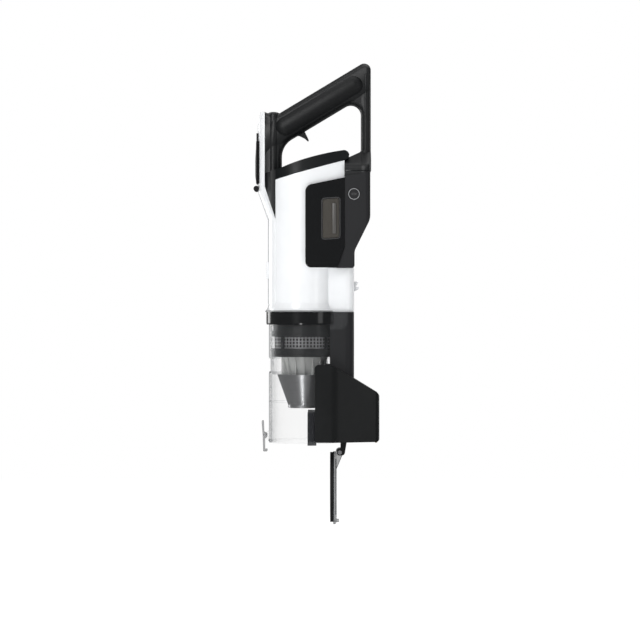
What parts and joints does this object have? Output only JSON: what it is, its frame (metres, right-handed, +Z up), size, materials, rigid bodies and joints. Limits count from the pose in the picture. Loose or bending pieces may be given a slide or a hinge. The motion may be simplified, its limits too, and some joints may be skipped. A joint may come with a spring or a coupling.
{
  "type": "cordless stick vacuum",
  "caption": "Main unit of a cordless stick vacuum: loop handle with trigger, slide-off battery, motor housing, clear cyclone dust cup with its bottom door hanging open.",
  "frame": {"origin": "centre of the wand socket's mouth", "axes": "-Z out of the wand socket, +Z up along the unit, +X towards the battery, -X towards the display"},
  "size_m": [0.1504, 0.092, 0.5513],
  "materials": {
    "handle_plastic": "satin",
    "soft_grip": "matte",
    "white_plastic": "gloss",
    "charcoal_plastic": "satin",
    "black_plastic": "gloss",
    "inner_plastic": "satin",
    "display_black": "gloss",
    "clear_plastic": "gloss",
    "smoked_plastic": "gloss",
    "grey_plastic": "satin",
    "pale_plastic": "satin",
    "cyclone_metal": "gloss",
    "steel": "satin",
    "perforated_steel": "satin",
    "aluminium": "satin",
    "copper_stack": "satin",
    "gold_contact": "gloss",
    "seal_rubber": "matte",
    "filter_paper": "matte",
    "cell_wrap": "satin",
    "board": "satin"
  },
  "bodies": {
    "main_body": {"handle_left_shell": "handle_plastic", "handle_right_shell": "handle_plastic", "grip_pad": "soft_grip", "trigger_pin": "steel", "trigger_switch": "black_plastic", "handle_screws": "steel", "housing_left": "white_plastic", "housing_right": "white_plastic", "housing_skirt": "white_plastic", "rear_spine_cover": "white_plastic", "front_spine_cover": "white_plastic", "display_lens": "display_black", "display_board": "board", "rest_bumper": "seal_rubber", "top_cap": "handle_plastic", "exhaust_filter": "filter_paper", "motor_mounts": "seal_rubber", "fan_shroud": "inner_plastic", "motor_end_plates": "aluminium", "motor_bearings": "steel", "motor_stator": "copper_stack", "control_board": "board"},
    "power_trigger": {"trigger": "handle_plastic"},
    "trigger_plunger": {"switch_plunger": "grey_plastic"},
    "mode_key": {"mode_button": "black_plastic"},
    "cup_release": {"cup_release_button": "black_plastic", "cup_catch": "inner_plastic"},
    "motor_spindle": {"impeller": "aluminium", "motor_rotor": "steel", "motor_shaft": "steel"},
    "battery_pack": {"battery_case": "charcoal_plastic", "charge_jack": "black_plastic", "battery_cells": "cell_wrap", "battery_board": "board", "left_cheek": "black_plastic", "right_cheek": "black_plastic"},
    "charge_gauge": {"gauge_button": "charcoal_plastic"},
    "battery_button_right": {"right_release_button": "grey_plastic"},
    "battery_button_left": {"left_release_button": "grey_plastic"},
    "dust_cup": {"clear_cup": "clear_plastic", "cup_collar": "black_plastic", "cup_seal": "seal_rubber", "shroud_frame": "black_plastic", "shroud_drum": "perforated_steel", "cyclone_funnel": "pale_plastic", "cyclone_cone": "cyclone_metal", "vortex_finder": "inner_plastic", "filter_tray": "inner_plastic", "pre_motor_filter": "filter_paper", "inlet_housing": "black_plastic", "inlet_duct": "smoked_plastic", "wand_seal": "seal_rubber", "wand_contacts": "gold_contact", "hinge_pin": "steel", "lower_spine": "charcoal_plastic", "dock_contact_strip": "grey_plastic", "latch_pin": "steel"},
    "bottom_door": {"cup_door": "clear_plastic", "door_gasket": "seal_rubber"},
    "latch_lever": {"door_latch": "grey_plastic"}
  },
  "joints": [
    {"name": "trigger_pull", "type": "hinge", "parent": "main_body", "child": "power_trigger", "pos_m": [-0.0768, 0, 0.3816], "axis": [0, -1, 0], "range_deg": [0, 12], "stiffness_Nm_per_rad": 0.5, "springref_deg": -5.73},
    {"name": "plunger_press", "type": "slide", "parent": "main_body", "child": "trigger_plunger", "axis": [0, 0, 1], "range_m": [0, 0.0024]},
    {"name": "mode_press", "type": "slide", "parent": "main_body", "child": "mode_key", "axis": [1, 0, 0], "range_m": [0, 0.001], "stiffness_N_per_m": 600, "springref_m": -0.001},
    {"name": "cup_release_press", "type": "slide", "parent": "main_body", "child": "cup_release", "axis": [1, 0, 0], "range_m": [0, 0.002], "stiffness_N_per_m": 800, "springref_m": -0.002},
    {"name": "motor_spin", "type": "hinge", "parent": "main_body", "child": "motor_spindle", "pos_m": [-0.0715, 0, 0.2], "axis": [0, 0, 1], "continuous": true},
    {"name": "battery_slide", "type": "slide", "parent": "main_body", "child": "battery_pack", "axis": [1, 0, 0], "range_m": [0, 0.09]},
    {"name": "gauge_press", "type": "slide", "parent": "battery_pack", "child": "charge_gauge", "axis": [0, 1, 0], "range_m": [0, 0.0008], "stiffness_N_per_m": 600, "springref_m": -0.001},
    {"name": "right_release_press", "type": "slide", "parent": "battery_pack", "child": "battery_button_right", "axis": [0, -1, 0], "range_m": [0, 0.001], "stiffness_N_per_m": 800, "springref_m": -0.001},
    {"name": "left_release_press", "type": "slide", "parent": "battery_pack", "child": "battery_button_left", "axis": [0, 1, 0], "range_m": [0, 0.001], "stiffness_N_per_m": 800, "springref_m": -0.001},
    {"name": "cup_slide", "type": "slide", "parent": "main_body", "child": "dust_cup", "axis": [0, 0, -1], "range_m": [0, 0.08]},
    {"name": "door_swing", "type": "hinge", "parent": "dust_cup", "child": "bottom_door", "pos_m": [-0.0268, 0, -0.0129], "axis": [0, 1, 0], "range_deg": [0, 90]},
    {"name": "latch_rock", "type": "hinge", "parent": "dust_cup", "child": "latch_lever", "pos_m": [-0.1158, 0, 0.0072], "axis": [0, 1, 0], "range_deg": [0, 8], "stiffness_Nm_per_rad": 0.3, "springref_deg": -8.59}
  ],
  "couplings": [
    {"joint": "plunger_press", "follows": "trigger_pull", "m_per_rad": 0.0108}
  ]
}
